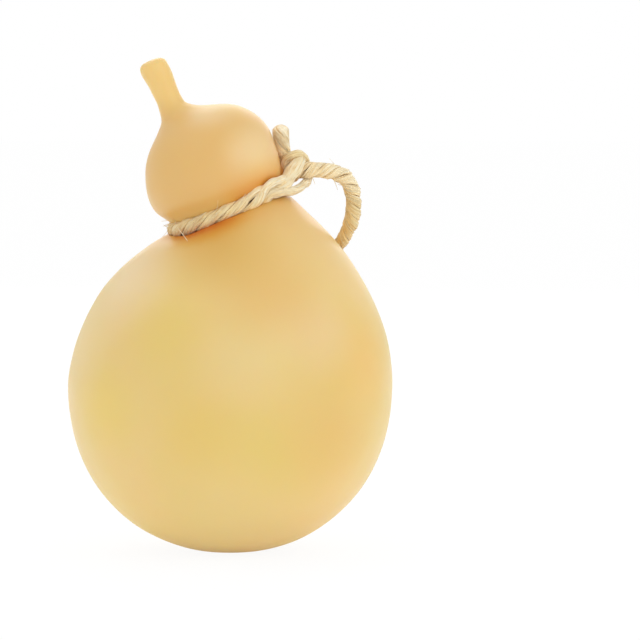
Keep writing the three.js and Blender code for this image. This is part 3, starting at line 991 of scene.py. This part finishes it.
def rope_stretches(line, along, loop_end, draw):
    """The strands' rings and lengths along the rope, for the tie, the loop and the tail."""
    limits = ((-math.inf, COLLAR_LENGTH), (COLLAR_LENGTH, loop_end), (loop_end, along[-1]))
    routes = (TUCKED_STRAND, CROSSING_STRAND, WRAPPING_STRAND)
    stretches = ([], [], [])
    for laid, route, start in zip(laid_strands(line, along, draw), routes, OPENED_REACHES):
        strand = opened(laid, along, route, start)
        reach = strand[1]
        rings = strand_rings(strand, draw, leaf=route is CROSSING_STRAND)
        for stretch, (low, high) in zip(stretches, limits):
            part = (reach >= low - STRAND_STEP / 2) & (reach <= high + STRAND_STEP / 2)
            stretch.append((rings[part], reach[part]))
    return stretches


def domed(tail, line, along, loop_end):
    """The tail's strands, drawn in to a dome at the cut end."""
    end = along >= loop_end - STRAND_STEP / 2
    below = 1 - np.minimum((along[-1] - along[end]) / BRUSH_DOME, 1)
    dome = np.maximum(np.sqrt(1 - below ** 2), BRUSH_TIP)[:, None, None]
    core = line[end][:, None]
    return [(core + dome * (rings - core), reach) for rings, reach in tail]


def make_loop(loop, line, rind, material, draw):
    """The hanging loop and its loose fibres."""
    hanging = tubes_object("rope_hanging_loop", loop)
    fibres = stray_hairs(loop, LOOP_HAIRS, draw) + lying_fibres(loop, LOOP_FIBRES, draw)
    tans = draw.uniform(*FIBRE_TANS, len(fibres))
    fibres += [thread(hair, HANGING_HAIR_RADIUS) for hair in HANGING_HAIRS]
    loop_fibres = tubes_object("loop_fibres", fibres, [*tans, *[HANGING_HAIR_TAN] * len(HANGING_HAIRS)])
    shade_rope(hanging, rind, line, LOOP_CONTACT)
    finish_piece(hanging, material, ["rope_loop"])
    finish_piece(loop_fibres, material)


def make_tie(tie, tail, line, rind, material, draw):
    """The rope round the neck with its knot, the cut tail, and their loose fibres."""
    knotted = tubes_object("rope_tie", tie)
    shade_rope(knotted, rind, line, TIE_CONTACT)
    finish_piece(knotted, material, ["rope_collar"])
    cut_end = tubes_object("rope_tail", tail, [0] * len(tail))
    shade_rope(cut_end, rind, line, TAIL_CONTACT)
    finish_piece(cut_end, material, ["rope_knot"])
    fibres = stray_hairs(tie, TIE_HAIRS, draw) + lying_fibres(tie, TIE_FIBRES, draw)
    fibres += brush_end(line, BRUSH_FIBRES, draw)
    tans = draw.uniform(*FIBRE_TANS, len(fibres))
    tans[-BRUSH_FIBRES:] *= BRUSH_TAN
    fibres.append(thread(smooth_line(FALLEN_HAIR, FALLEN_HAIR_STEP), FALLEN_HAIR_RADIUS))
    finish_piece(tubes_object("tie_fibres", fibres, [*tans, 0]), material)


def make_rope(material, rind):
    """The whole rope: the hanging loop, and the tie round the neck with its knot and tail."""
    draw = np.random.default_rng(ROPE_SEED)
    line = rope_line()
    along = STRAND_STEP * np.arange(len(line))
    loop_end = along[-1] - TAIL_LENGTH
    tie, loop, tail = rope_stretches(line, along, loop_end, draw)
    make_loop(loop, line, rind, material, draw)
    make_tie(tie, domed(tail, line, along, loop_end), line, rind, material, draw)


def make_floor():
    """A plain white floor that glows a little, as a lit studio sheet does, and is shown nearly unshaded."""
    mesh = bpy.data.meshes.new("floor")
    half = FLOOR_HALF_WIDTH
    corners = [(-half, -half, 0), (half, -half, 0), (half, half, 0), (-half, half, 0)]
    mesh.from_pydata(corners, [], [(0, 1, 2, 3)])
    material, nodes, links, shader = nodes_of("white_sheet")
    set_sockets(shader, FLOOR_FINISH)
    white = nodes.new("ShaderNodeEmission")
    amount = nodes.new("ShaderNodeMath")
    amount.operation = "MULTIPLY"
    amount.inputs[1].default_value = FLOOR_WHITENESS
    links.new(nodes.new("ShaderNodeLightPath").outputs["Is Camera Ray"], amount.inputs[0])
    shown = nodes.new("ShaderNodeMixShader")
    links.new(amount.outputs["Value"], shown.inputs["Fac"])
    links.new(shader.outputs["BSDF"], shown.inputs[1])
    links.new(white.outputs["Emission"], shown.inputs[2])
    links.new(shown.outputs["Shader"], nodes["Material Output"].inputs["Surface"])
    mesh.materials.append(material)
    add_object("floor", mesh)


def make_surroundings():
    """Soft light from all round, stronger from behind, before a plain white backdrop."""
    world = bpy.data.worlds.new("studio")
    world.use_nodes = True
    nodes, links = world.node_tree.nodes, world.node_tree.links
    fill = nodes["Background"]
    fill.inputs["Color"].default_value = WHITE
    direction = nodes.new("ShaderNodeSeparateXYZ")
    links.new(nodes.new("ShaderNodeTexCoord").outputs["Generated"], direction.inputs["Vector"])
    sides = (FRONT_SIDE, BACK_SIDE, FRONT_LIGHT, BACK_LIGHT)
    links.new(value_range(nodes, links, direction.outputs["Y"], *sides), fill.inputs["Strength"])
    backdrop = nodes.new("ShaderNodeBackground")
    set_sockets(backdrop, {"Color": WHITE, "Strength": BACKDROP_LIGHT})
    shown = nodes.new("ShaderNodeMixShader")
    links.new(nodes.new("ShaderNodeLightPath").outputs["Is Camera Ray"], shown.inputs["Fac"])
    links.new(fill.outputs["Background"], shown.inputs[1])
    links.new(backdrop.outputs["Background"], shown.inputs[2])
    links.new(shown.outputs["Shader"], nodes["World Output"].inputs["Surface"])
    bpy.context.scene.world = world


def add_light(name, kind, power, place, aim):
    data = bpy.data.lights.new(name, kind)
    data.energy = power
    light = add_object(name, data)
    light.location = place
    light.rotation_euler = (Vector(aim) - Vector(place)).to_track_quat("-Z", "Y").to_euler()
    return data


def make_studio():
    """Soft boxes above and behind, with a weak key from the right and a small light on the tail."""
    make_floor()
    make_surroundings()
    for name, place, size, power in SOFT_BOXES:
        add_light(name, "AREA", power, place, SOFT_BOX_AIM).size = size
    spot = add_light("knot", "SPOT", SPOT_POWER, SPOT_PLACE, SPOT_AIM)
    spot.shadow_soft_size = SPOT_RADIUS
    spot.spot_size = SPOT_ANGLE
    spot.spot_blend = 1
    bpy.context.scene.view_settings.view_transform = "Standard"


make_camera()
cheese = make_cheese()
make_rope(sisal_material(), cheese)
finish_piece(cheese, rind_material(), ["cheese"])
make_studio()
